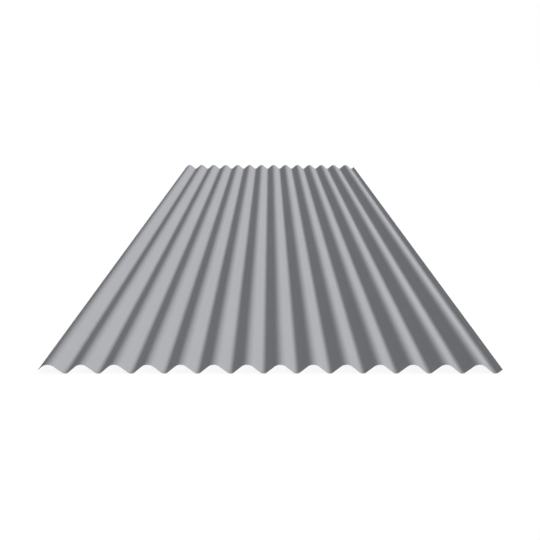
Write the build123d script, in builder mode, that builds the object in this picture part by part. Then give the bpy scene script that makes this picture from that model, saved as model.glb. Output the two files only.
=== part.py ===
"""Corrugated metal sheet: one length of coated steel strip, cold rolled into even waves.

The waves run along Y and repeat across X. Seen along +Y, the left edge turns down from the first
crest and the right edge turns up from the last valley, so that one sheet's left edge caps the next
sheet's right edge with a lap of one wave. The sheet lies on its valleys, with the origin on the floor
under its middle.
"""

from build123d import *

import os
from math import asin, atan2, cos, degrees, hypot, sin

# Driving dimensions, in millimetres.
pitch = 67.73  # crest to crest
depth = 20.6  # underside of a valley to the top of a crest
gauge = 0.6  # thickness of the coated steel
crest_inside_radius = 18.0  # bend of a crest, on its underside
valley_inside_radius = 10.0  # bend of a valley, on its top side
wave_count = 14
left_lap_reach = 21.7  # first crest line to the tip of the left edge, level
right_lap_reach = 14.2  # last valley line to the tip of the right edge, level
length = 2438.0

# The strip's middle line: arcs of these radii, joined by straight flanks that touch both arcs.
crest_radius = crest_inside_radius + gauge / 2
valley_radius = valley_inside_radius + gauge / 2
rise = depth - gauge
half_pitch = pitch / 2
radii_sum = crest_radius + valley_radius
flank_slope = atan2(rise - radii_sum, half_pitch) + asin(radii_sum / hypot(half_pitch, rise - radii_sum))
flank_length = (half_pitch - radii_sum * sin(flank_slope)) / cos(flank_slope)
bend_angle = 2 * degrees(flank_slope)

# The two lap edges are flanks cut short, each measured level from its crest or valley line.
left_lip_length = (left_lap_reach - crest_radius * sin(flank_slope)) / cos(flank_slope)
right_lip_length = (right_lap_reach - valley_radius * sin(flank_slope)) / cos(flank_slope)
width = left_lap_reach + (wave_count - 0.5) * pitch + right_lap_reach

# The section is drawn along the underside, which is the inside of each crest and the outside of each
# valley, and then thickened upwards by the gauge. The cut tip of the left edge stands square to its flank.
left_tip_height = gauge / 2 + rise - crest_radius * (1 - cos(flank_slope)) - left_lip_length * sin(flank_slope)
left_corner = (
    -width / 2 + gauge / 2 * sin(flank_slope),
    left_tip_height - gauge / 2 * cos(flank_slope),
)
climbing = (cos(flank_slope), sin(flank_slope))

with BuildPart() as sheet:
    with BuildSketch(Plane.XZ) as section:
        with BuildLine() as underside:
            flank = PolarLine(left_corner, left_lip_length, direction=climbing)
            for wave in range(wave_count):
                crest = JernArc(flank @ 1, flank % 1, crest_inside_radius, -bend_angle)
                fall = PolarLine(crest @ 1, flank_length, direction=crest % 1)
                valley = JernArc(fall @ 1, fall % 1, valley_inside_radius + gauge, bend_angle)
                climb_length = flank_length if wave < wave_count - 1 else right_lip_length
                flank = PolarLine(valley @ 1, climb_length, direction=valley % 1)
            offset(amount=gauge, side=Side.LEFT)
        make_face()
    extrude(amount=length / 2, both=True)

sheet.part.label = "corrugated_sheet"
os.makedirs("parts", exist_ok=True)
export_step(sheet.part, "parts/corrugated_sheet.step")
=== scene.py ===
"""Corrugated metal sheet: the finished looks of one coated steel sheet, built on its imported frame.

The sheet is drawn the way it is made. A flat line is bent into waves, drawn out to its length and
given the thickness of the steel, and then it gets a matt coat on top, a paler coat underneath and bare
metal where it was sheared. Everything is in metres, with the waves along Y and the sheet resting at zero.
"""

import logging
import math
from abc import ABC, abstractmethod
from dataclasses import dataclass, field
from enum import Enum, IntEnum

import bmesh
import bpy
from bmesh.types import BMesh, BMVert
from bpy.types import Material, Node, NodeSocket, NodeTree, Object
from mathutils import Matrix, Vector


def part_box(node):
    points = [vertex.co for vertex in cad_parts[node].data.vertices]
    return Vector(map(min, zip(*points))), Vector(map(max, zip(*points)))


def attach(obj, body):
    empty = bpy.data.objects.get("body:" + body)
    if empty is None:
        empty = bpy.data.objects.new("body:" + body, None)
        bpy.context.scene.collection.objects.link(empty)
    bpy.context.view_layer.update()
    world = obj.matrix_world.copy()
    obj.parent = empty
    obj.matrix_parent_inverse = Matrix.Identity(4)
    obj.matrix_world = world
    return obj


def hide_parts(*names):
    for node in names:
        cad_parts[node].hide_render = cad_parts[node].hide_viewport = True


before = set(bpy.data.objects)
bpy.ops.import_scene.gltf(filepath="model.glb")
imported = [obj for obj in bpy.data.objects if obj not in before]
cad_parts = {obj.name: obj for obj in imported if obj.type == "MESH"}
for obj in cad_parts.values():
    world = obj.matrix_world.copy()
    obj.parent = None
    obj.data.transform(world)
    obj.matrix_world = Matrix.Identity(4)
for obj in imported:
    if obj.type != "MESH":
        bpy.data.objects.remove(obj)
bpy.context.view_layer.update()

MM = 0.001
SHEET_NODE = "corrugated_sheet"
WHITE = (1.0, 1.0, 1.0, 1.0)

# Most values of a noise lie between these two.
NOISE_LOW = 0.3
NOISE_HIGH = 0.7

Colour = tuple[float, float, float]

log = logging.getLogger(SHEET_NODE)


class StripFace(IntEnum):
    """The sides of the rolled strip, in the order of the piece's material slots."""

    TOP = 0
    UNDER = 1
    CUT = 2


class Joining(Enum):
    """How two values are joined into one."""

    PRODUCT = "MULTIPLY"
    LARGER = "MAXIMUM"


class NodeBench:
    """Lays out and wires the nodes of one material or world."""

    def __init__(self, tree: NodeTree) -> None:
        """Clears the tree.

        Args:
            tree: the node tree to fill.
        """
        self.tree = tree
        tree.nodes.clear()

    def add(self, kind: str, inputs: dict[str | int, object] | None = None, **settings: object) -> Node:
        """Adds one node.

        Args:
            kind: the node's type name, without its leading ShaderNode.
            inputs: values for its sockets, or output sockets to wire to them, by name or number.
            settings: the node's own options.

        Returns:
            The new node.
        """
        node = self.tree.nodes.new(f"ShaderNode{kind}")
        for name, value in settings.items():
            setattr(node, name, value)
        for place, value in (inputs or {}).items():
            socket = node.inputs[place]
            if isinstance(value, NodeSocket):
                self.tree.links.new(value, socket)
            else:
                socket.default_value = value
        return node

    def place(self) -> NodeSocket:
        """Gives the place on the object, in metres."""
        return self.add("TexCoord").outputs["Object"]

    def noise(self, cell: tuple[float, float, float], layers: float) -> NodeSocket:
        """Adds a noise whose lumps have a given size.

        Args:
            cell: the lumps' size along X, Y and Z in metres. Zero leaves that direction out.
            layers: how many finer layers it has.

        Returns:
            The noise's value, about 0.5 on average.
        """
        scale = [1 / size if size else 0.0 for size in cell]
        mapped = self.add("Mapping", {"Vector": self.place(), "Scale": scale}).outputs["Vector"]
        return self.add("TexNoise", {"Vector": mapped, "Scale": 1.0, "Detail": layers}).outputs["Fac"]

    def spread(self, noise: NodeSocket, middle: float, change: float) -> NodeSocket:
        """Maps a noise to a range of its own.

        Args:
            noise: the noise's value.
            middle: the result where the noise is 0.5.
            change: how far the result rises with the noise, or falls if it is negative.

        Returns:
            The mapped value.
        """
        usual = {"Value": noise, "From Min": NOISE_LOW, "From Max": NOISE_HIGH}
        wanted = {"To Min": middle - change, "To Max": middle + change}
        return self.add("MapRange", usual | wanted).outputs["Result"]

    def join(self, how: Joining, first: NodeSocket, second: NodeSocket) -> NodeSocket:
        """Joins two values into one."""
        return self.add("Math", {0: first, 1: second}, operation=how.value).outputs["Value"]

    def shade(self, colour: Colour, tone: NodeSocket) -> NodeSocket:
        """Darkens or lightens a colour by a tone near 1."""
        return self.add("VectorMath", {0: colour, "Scale": tone}, operation="SCALE").outputs["Vector"]

    def bump(self, relief: NodeSocket, height: float) -> NodeSocket:
        """Turns a noise into a relief of the surface that is this high where the noise is 1."""
        return self.add("Bump", {"Height": relief, "Strength": 1.0, "Distance": height}).outputs["Normal"]

    def mix(self, share: NodeSocket | float, first: NodeSocket, second: NodeSocket) -> NodeSocket:
        """Mixes two shaders, where the share is the second one's."""
        return self.add("MixShader", {"Fac": share, 1: first, 2: second}).outputs["Shader"]

    def seen_ray(self) -> NodeSocket:
        """Finds the rays that show the white background.

        Returns:
            1 for rays from the camera, a glossy surface or clear glass, and 0 for the rest.
        """
        path = self.add("LightPath").outputs
        mirrored = self.join(Joining.LARGER, path["Is Glossy Ray"], path["Is Transmission Ray"])
        return self.join(Joining.LARGER, path["Is Camera Ray"], mirrored)


class Finish(ABC):
    """A finish that can be made into a material."""

    name: str

    def material(self) -> Material:
        """Makes the finish's material.

        Returns:
            The new material.
        """
        made = bpy.data.materials.new(self.name)
        made.use_nodes = True
        bench = NodeBench(made.node_tree)
        bench.add("OutputMaterial", {"Surface": self.surface(bench)})
        return made

    @abstractmethod
    def surface(self, bench: NodeBench) -> NodeSocket:
        """Lays out the finish's own nodes.

        Args:
            bench: the nodes to add to.

        Returns:
            The shader of the surface.
        """


@dataclass(frozen=True)
class CoilCoat(Finish):
    """A matt grey coat that was baked onto the flat strip before it was rolled.

    The coat has soft clouds and long faint lines from the coating rolls, and a fine grain. The forming
    rolls pressed hardest on the crests and valleys, so it is a little smoother there than on the flanks.
    """

    depth: float
    name: str = "matt_grey_coat"
    colour: Colour = (0.273, 0.277, 0.293)
    cloud_size: float = 300.0 * MM
    cloud_layers: float = 1.0
    cloud_change: float = 0.012
    line_width: float = 9.0 * MM
    line_length: float = 1200.0 * MM
    line_layers: float = 1.0
    line_change: float = 0.008
    grain_size: float = 1.6 * MM
    grain_layers: float = 2.0
    grain_height: float = 0.1 * MM
    roughness: float = 0.84
    pressed_roughness: float = 0.74
    pressed_share: float = 0.25
    roughness_change: float = 0.04
    shine: float = 0.06

    def surface(self, bench: NodeBench) -> NodeSocket:
        """Lays out the coat's clouds, lines and grain.

        Args:
            bench: the nodes to add to.

        Returns:
            The shader of the surface.
        """
        clouds = bench.noise((self.cloud_size, self.cloud_size, 0.0), self.cloud_layers)
        lines = bench.noise((self.line_width, self.line_length, 0.0), self.line_layers)
        grain = bench.noise((self.grain_size, self.grain_size, self.grain_size), self.grain_layers)
        cloud_tone = bench.spread(clouds, 1.0, self.cloud_change)
        line_tone = bench.spread(lines, 1.0, self.line_change)
        coat = {
            "Base Color": bench.shade(self.colour, bench.join(Joining.PRODUCT, cloud_tone, line_tone)),
            "Roughness": self._roughness(bench, lines),
            "Specular IOR Level": self.shine,
            "Normal": bench.bump(grain, self.grain_height),
        }
        return bench.add("BsdfPrincipled", coat).outputs["BSDF"]

    def _roughness(self, bench: NodeBench, lines: NodeSocket) -> NodeSocket:
        """Works out the roughness from the height in the wave and the roll lines.

        Args:
            bench: the nodes to add to.
            lines: the noise of the roll lines.

        Returns:
            The roughness, lowest on the crests and in the valleys.
        """
        z = bench.add("SeparateXYZ", {"Vector": bench.place()}).outputs["Z"]
        height = bench.add("MapRange", {"Value": z, "From Max": self.depth}).outputs["Result"]
        steps = bench.add("ValToRGB", {"Fac": height})
        ramp = steps.color_ramp.elements
        ramp[0].color = [self.pressed_roughness] * 3 + [1.0]
        ramp[1].color = ramp[0].color
        for share in (self.pressed_share, 1 - self.pressed_share):
            ramp.new(share).color = [self.roughness] * 3 + [1.0]
        wear = bench.spread(lines, 1.0, -self.roughness_change)
        return bench.join(Joining.PRODUCT, steps.outputs["Color"], wear)


@dataclass(frozen=True)
class BackingCoat(Finish):
    """The thin matt coat on the sheet's underside, with the steel's rolling lines showing through it."""

    name: str = "matt_backing_coat"
    colour: Colour = (0.36, 0.362, 0.365)
    tone_change: float = 0.035
    line_width: float = 4.0 * MM
    line_length: float = 350.0 * MM
    line_layers: float = 3.0
    line_height: float = 0.06 * MM
    roughness: float = 0.66
    roughness_change: float = 0.06
    shine: float = 0.2

    def surface(self, bench: NodeBench) -> NodeSocket:
        """Lays out the rolling lines.

        Args:
            bench: the nodes to add to.

        Returns:
            The shader of the surface.
        """
        lines = bench.noise((self.line_width, self.line_length, 0.0), self.line_layers)
        coat = {
            "Base Color": bench.shade(self.colour, bench.spread(lines, 1.0, self.tone_change)),
            "Roughness": bench.spread(lines, self.roughness, -self.roughness_change),
            "Specular IOR Level": self.shine,
            "Normal": bench.bump(lines, self.line_height),
        }
        return bench.add("BsdfPrincipled", coat).outputs["BSDF"]


@dataclass(frozen=True)
class ShearedSteel(Finish):
    """Bare steel where the strip was cut, part burnished by the blade and part torn."""

    name: str = "sheared_steel"
    colour: Colour = (0.5, 0.505, 0.515)
    tone_change: float = 0.2
    tear_size: float = 1.5 * MM
    tear_thickness: float = 0.375 * MM
    tear_layers: float = 2.0
    tear_height: float = 0.06 * MM
    roughness: float = 0.42
    roughness_change: float = 0.12

    def surface(self, bench: NodeBench) -> NodeSocket:
        """Lays out the torn and burnished places.

        Args:
            bench: the nodes to add to.

        Returns:
            The shader of the surface.
        """
        tears = bench.noise((self.tear_size, self.tear_size, self.tear_thickness), self.tear_layers)
        steel = {
            "Base Color": bench.shade(self.colour, bench.spread(tears, 1.0, self.tone_change)),
            "Metallic": 1.0,
            "Roughness": bench.spread(tears, self.roughness, -self.roughness_change),
            "Normal": bench.bump(tears, self.tear_height),
        }
        return bench.add("BsdfPrincipled", steel).outputs["BSDF"]


@dataclass(frozen=True)
class WhiteFloor(Finish):
    """A floor that looks white, keeps a faint shadow, and throws light back up as pale grey would."""

    name: str = "white_floor"
    shadow_share: float = 0.25
    bounce_grey: float = 0.8

    def surface(self, bench: NodeBench) -> NodeSocket:
        """Lays out what is seen of the floor and what lights the sheet from it.

        Args:
            bench: the nodes to add to.

        Returns:
            The shader of the surface.
        """
        grey = (self.bounce_grey, self.bounce_grey, self.bounce_grey, 1.0)
        bounce = bench.add("BsdfDiffuse", {"Color": grey}).outputs["BSDF"]
        shadowed = bench.add("BsdfDiffuse", {"Color": WHITE}).outputs["BSDF"]
        glow = bench.add("Emission", {"Color": WHITE, "Strength": 1.0}).outputs["Emission"]
        shown = bench.mix(self.shadow_share, glow, shadowed)
        return bench.mix(bench.seen_ray(), bounce, shown)


def set_up(mesh: BMesh, name: str) -> Object:
    """Turns a finished mesh into an object at the origin.

    Args:
        mesh: the mesh, which is freed.
        name: the object's name.

    Returns:
        The new object, in the scene.
    """
    data = bpy.data.meshes.new(name)
    mesh.to_mesh(data)
    mesh.free()
    made = bpy.data.objects.new(name, data)
    bpy.context.scene.collection.objects.link(made)
    return made


@dataclass
class WaveSection:
    """The section across the waves, drawn along the underside of the strip.

    Rounded crests and valleys are joined by straight flanks. The left edge turns down from the first
    crest and the right edge turns up from the last valley.
    """

    depth: float
    pitch: float = 67.73 * MM
    gauge: float = 0.6 * MM
    crest_inside_radius: float = 18.0 * MM
    valley_inside_radius: float = 10.0 * MM
    wave_count: int = 14
    left_lap_reach: float = 21.7 * MM
    right_lap_reach: float = 14.2 * MM
    crest_steps: int = 28
    valley_steps: int = 22
    flank_slope: float = field(init=False)
    flank_length: float = field(init=False)
    left_lip_length: float = field(init=False)
    right_lip_length: float = field(init=False)
    left_corner: Vector = field(init=False)

    def __post_init__(self) -> None:
        """Works out the flanks and the two lips from the driving sizes."""
        half_gauge = self.gauge / 2
        half_pitch = self.pitch / 2
        crest_radius = self.crest_inside_radius + half_gauge
        valley_radius = self.valley_inside_radius + half_gauge
        radii_sum = crest_radius + valley_radius
        climb = self.depth - self.gauge - radii_sum
        turn = math.asin(radii_sum / math.hypot(half_pitch, climb))
        self.flank_slope = math.atan2(climb, half_pitch) + turn
        slope_sin, slope_cos = math.sin(self.flank_slope), math.cos(self.flank_slope)
        self.flank_length = (half_pitch - radii_sum * slope_sin) / slope_cos
        self.left_lip_length = (self.left_lap_reach - crest_radius * slope_sin) / slope_cos
        self.right_lip_length = (self.right_lap_reach - valley_radius * slope_sin) / slope_cos
        bend_drop = crest_radius * (1 - slope_cos)
        tip_height = self.depth - half_gauge - bend_drop - self.left_lip_length * slope_sin
        span = self.left_lap_reach + (self.wave_count - 0.5) * self.pitch + self.right_lap_reach
        left_end = half_gauge * slope_sin - span / 2
        self.left_corner = Vector((left_end, 0.0, tip_height - half_gauge * slope_cos))

    def draw(self, mesh: BMesh) -> None:
        """Draws the underside from the left edge to the right edge as one chain of edges.

        Args:
            mesh: the mesh that the chain goes into.
        """
        rise, fall = self.flank_slope, -self.flank_slope
        outside_valley = self.valley_inside_radius + self.gauge
        tip = mesh.verts.new(self.left_corner)
        tip = self._go_straight(mesh, tip, rise, self.left_lip_length)
        for wave in range(self.wave_count):
            tip = self._go_round(mesh, tip, rise, -self.crest_inside_radius, self.crest_steps)
            tip = self._go_straight(mesh, tip, fall, self.flank_length)
            tip = self._go_round(mesh, tip, fall, outside_valley, self.valley_steps)
            last = wave == self.wave_count - 1
            tip = self._go_straight(mesh, tip, rise, self.right_lip_length if last else self.flank_length)

    @staticmethod
    def _go_straight(mesh: BMesh, tip: BMVert, slope: float, distance: float) -> BMVert:
        """Lengthens the chain by one straight edge.

        Args:
            mesh: the mesh that holds the chain.
            tip: the chain's last point.
            slope: the climb, as an angle above level.
            distance: the edge's length.

        Returns:
            The chain's new last point.
        """
        grown = bmesh.ops.extrude_vert_indiv(mesh, verts=[tip])["verts"]
        step = Vector((math.cos(slope), 0.0, math.sin(slope))) * distance
        bmesh.ops.translate(mesh, verts=grown, vec=step)
        return grown[0]

    @staticmethod
    def _go_round(mesh: BMesh, tip: BMVert, slope: float, radius: float, steps: int) -> BMVert:
        """Lengthens the chain by an arc that turns the slope over to its mirror image.

        Args:
            mesh: the mesh that holds the chain.
            tip: the chain's last point.
            slope: the climb where the arc begins, as an angle above level.
            radius: the arc's radius, positive where its centre lies above the chain.
            steps: how many edges the arc has.

        Returns:
            The chain's new last point.
        """
        centre = tip.co + Vector((-math.sin(slope), 0.0, math.cos(slope))) * radius
        turned = bmesh.ops.spin(
            mesh, geom=[tip], cent=centre, axis=(0.0, 1.0, 0.0), angle=2 * slope, steps=steps
        )
        return next(item for item in turned["geom_last"] if isinstance(item, BMVert))


@dataclass
class CorrugatedSheet:
    """The sheet itself: the wavy section drawn out along Y, with its three finishes."""

    section: WaveSection
    near_end: float
    length: float
    bays: int = 24
    edge_ease: float = 0.06 * MM
    edge_ease_steps: int = 2
    under_coat: BackingCoat = BackingCoat()
    bare_edge: ShearedSteel = ShearedSteel()

    def build(self) -> Object:
        """Makes the sheet's mesh and finishes.

        Returns:
            The sheet, standing for its frame node.
        """
        mesh = bmesh.new()
        self.section.draw(mesh)
        self._draw_out(mesh)
        self._thicken(mesh)
        self._ease_cut_edges(mesh)
        sheet = set_up(mesh, "rolled_sheet")
        self._dress(sheet)
        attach(sheet, "root")
        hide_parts(SHEET_NODE)
        return sheet

    def _draw_out(self, mesh: BMesh) -> None:
        """Draws the section out to the sheet's length, in bays, facing down as an underside does.

        Args:
            mesh: the mesh that holds the section.
        """
        bmesh.ops.translate(mesh, verts=mesh.verts, vec=(0.0, self.near_end, 0.0))
        drawn = bmesh.ops.extrude_edge_only(mesh, edges=mesh.edges[:])["geom"]
        far = {item for item in drawn if isinstance(item, BMVert)}
        bmesh.ops.translate(mesh, verts=list(far), vec=(0.0, self.length, 0.0))
        along = [edge for edge in mesh.edges if len(far.intersection(edge.verts)) == 1]
        bmesh.ops.subdivide_edges(mesh, edges=along, cuts=self.bays - 1, use_grid_fill=True)
        bmesh.ops.recalc_face_normals(mesh, faces=mesh.faces)
        mesh.faces.ensure_lookup_table()
        if mesh.faces[0].normal.z > 0:
            bmesh.ops.reverse_faces(mesh, faces=mesh.faces)

    def _thicken(self, mesh: BMesh) -> None:
        """Gives the strip the thickness of the steel and sorts its faces by finish.

        Args:
            mesh: the mesh of the strip's underside.
        """
        under = set(mesh.faces)
        rim = {edge for edge in mesh.edges if edge.is_boundary}
        bmesh.ops.solidify(mesh, geom=mesh.faces[:], thickness=self.section.gauge)
        for face in mesh.faces:
            if face in under:
                face.material_index = StripFace.UNDER
            elif rim.intersection(face.edges):
                face.material_index = StripFace.CUT
            else:
                face.material_index = StripFace.TOP

    def _ease_cut_edges(self, mesh: BMesh) -> None:
        """Rounds the sheared corners a little, and smooths the coated faces.

        Args:
            mesh: the mesh of the thick strip.
        """
        corners = [
            edge
            for edge in mesh.edges
            if len({face.material_index for face in edge.link_faces}) == 2
        ]
        bmesh.ops.bevel(
            mesh,
            geom=corners,
            offset=self.edge_ease,
            affect="EDGES",
            segments=self.edge_ease_steps,
            profile=0.5,
            material=-1,
        )
        for face in mesh.faces:
            face.smooth = face.material_index != StripFace.CUT

    def _dress(self, sheet: Object) -> None:
        """Gives the sheet its finishes, in the order of StripFace.

        Args:
            sheet: the sheet's object.
        """
        top_coat = CoilCoat(self.section.depth)
        for finish in (top_coat, self.under_coat, self.bare_edge):
            sheet.data.materials.append(finish.material())


@dataclass(frozen=True)
class StudioLamp:
    """A distant lamp, square across the waves."""

    name: str
    power: float
    lean_deg: float
    softness_deg: float
    casts_shadow: bool

    def hang(self) -> None:
        """Hangs the lamp, leaning from straight above towards the right."""
        data = bpy.data.lights.new(self.name, "SUN")
        data.energy = self.power
        data.angle = math.radians(self.softness_deg)
        data.use_shadow = self.casts_shadow
        lamp = bpy.data.objects.new(self.name, data)
        lamp.rotation_euler = (0.0, math.radians(self.lean_deg), 0.0)
        bpy.context.scene.collection.objects.link(lamp)


@dataclass
class Studio:
    """A white floor and sky, an even fill, and two lamps.

    The key light is low on the right and casts no shadow, so it shades each wave by its slope alone. The
    wide light overhead gives the floor the sheet's soft shadow.
    """

    floor_half_width: float = 40.0
    floor_gap: float = 0.2 * MM
    floor_finish: WhiteFloor = WhiteFloor()
    fill: float = 0.19
    key_light: StudioLamp = StudioLamp(
        "key_light", power=4.09, lean_deg=68.0, softness_deg=27.0, casts_shadow=False
    )
    top_light: StudioLamp = StudioLamp(
        "top_light", power=1.125, lean_deg=0.0, softness_deg=50.0, casts_shadow=True
    )

    def build(self) -> None:
        """Makes the floor, the sky and the lamps."""
        self._lay_floor()
        self._light_sky()
        self.key_light.hang()
        self.top_light.hang()

    def _lay_floor(self) -> None:
        """Lays the floor just under the sheet."""
        mesh = bmesh.new()
        bmesh.ops.create_grid(mesh, x_segments=1, y_segments=1, size=self.floor_half_width)
        bmesh.ops.translate(mesh, verts=mesh.verts, vec=(0.0, 0.0, -self.floor_gap))
        floor = set_up(mesh, "studio_floor")
        floor.data.materials.append(self.floor_finish.material())

    def _light_sky(self) -> None:
        """Fills the scene with even light, behind a sky that looks white."""
        world = bpy.data.worlds.new("studio_sky")
        bpy.context.scene.world = world
        world.use_nodes = True
        bench = NodeBench(world.node_tree)
        fill = bench.add("Background", {"Color": WHITE, "Strength": self.fill}).outputs["Background"]
        white = bench.add("Background", {"Color": WHITE, "Strength": 1.0}).outputs["Background"]
        bench.add("OutputWorld", {"Surface": bench.mix(bench.seen_ray(), fill, white)})


@dataclass
class ViewCamera:
    """A camera that looks along the waves from in front of the near end, tilted down at the sheet."""

    near_end: float
    stand_off: float = 1.1628
    height: float = 0.6209
    slide: float = -0.7 * MM
    tilt_deg: float = 18.838
    turn_deg: float = -0.017
    lens_mm: float = 42.39
    sensor_mm: float = 36.0

    def build(self) -> None:
        """Makes the camera and looks through it."""
        data = bpy.data.cameras.new("view_camera")
        data.sensor_width = self.sensor_mm
        data.lens = self.lens_mm
        camera = bpy.data.objects.new("view_camera", data)
        camera.location = (self.slide, self.near_end - self.stand_off, self.height)
        # An unturned camera looks straight down, and a quarter turn brings it level.
        level = math.pi / 2
        camera.rotation_euler = (level - math.radians(self.tilt_deg), 0.0, math.radians(self.turn_deg))
        bpy.context.scene.collection.objects.link(camera)
        bpy.context.scene.camera = camera


def main() -> None:
    """Builds the sheet, the studio and the camera."""
    logging.basicConfig(level=logging.INFO, format="%(name)s: %(message)s")
    bpy.context.scene.view_settings.view_transform = "Standard"
    low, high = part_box(SHEET_NODE)
    size = high - low
    section = WaveSection(depth=size.z)
    sheet = CorrugatedSheet(section, near_end=low.y, length=size.y).build()
    log.info("%s: %d faces", sheet.name, len(sheet.data.polygons))
    Studio().build()
    ViewCamera(near_end=low.y).build()


if __name__ == "__main__":
    main()
